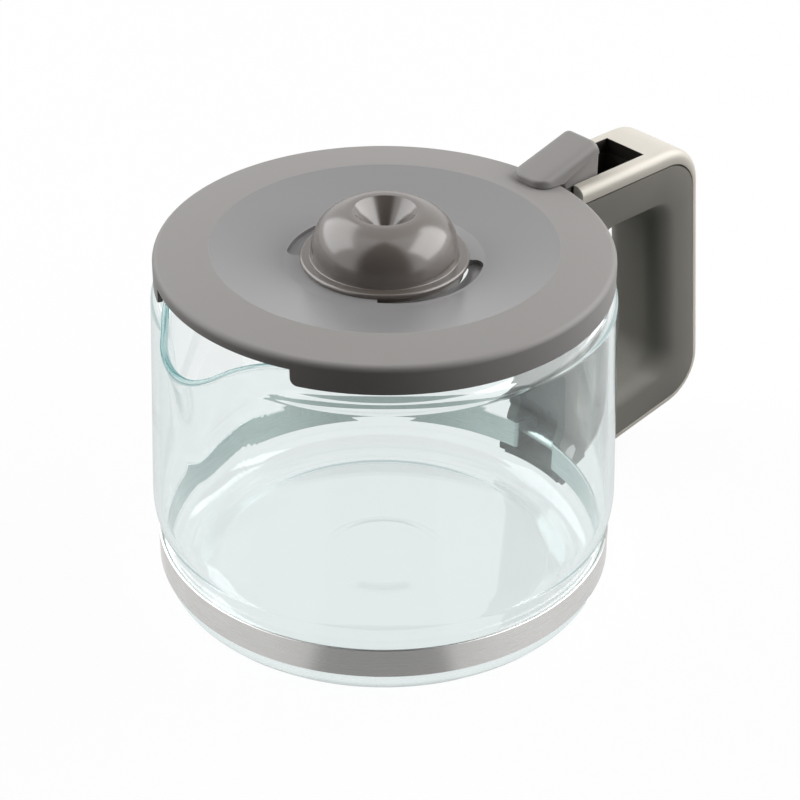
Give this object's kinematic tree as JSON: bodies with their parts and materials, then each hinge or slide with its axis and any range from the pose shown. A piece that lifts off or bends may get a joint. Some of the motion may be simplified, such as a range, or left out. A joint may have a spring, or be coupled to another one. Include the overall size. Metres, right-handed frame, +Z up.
{
  "type": "coffee carafe",
  "caption": "Low round glass coffee jug with a steel foot band, a closed loop handle with pale trim, and a hinged dished lid with a drip dome and thumb lever.",
  "frame": {"origin": "on the jug's axis, in the plane of the ring it rests on", "axes": "+X towards the handle, -X towards the pouring lip, +Z up along the jug's axis"},
  "size_m": [0.2172, 0.1474, 0.1293],
  "materials": {
    "glass": "clear, faintly green at the edges",
    "band_steel": "brushed along its length",
    "fixing_steel": "plain",
    "handle_plastic": "fine matte texture, taupe",
    "trim_satin": "champagne metallic, satin",
    "lid_plastic": "fine matte texture, warm grey",
    "dome_plastic": "smooth, glossy, taupe"
  },
  "bodies": {
    "jug": {"glass_jug": "glass", "steel_band": "band_steel", "clamp_screw": "fixing_steel", "clamp_nut": "fixing_steel", "handle_core": "handle_plastic", "handle_trim": "trim_satin", "hinge_pin": "fixing_steel"},
    "lid": {"lid_plate": "lid_plastic", "drip_dome": "dome_plastic", "thumb_lever": "lid_plastic"}
  },
  "joints": [
    {"name": "lid_hinge", "type": "hinge", "parent": "jug", "child": "lid", "pos_m": [0.082, 0, 0.1047], "axis": [0, 1, 0], "range_deg": [0, 85]}
  ]
}
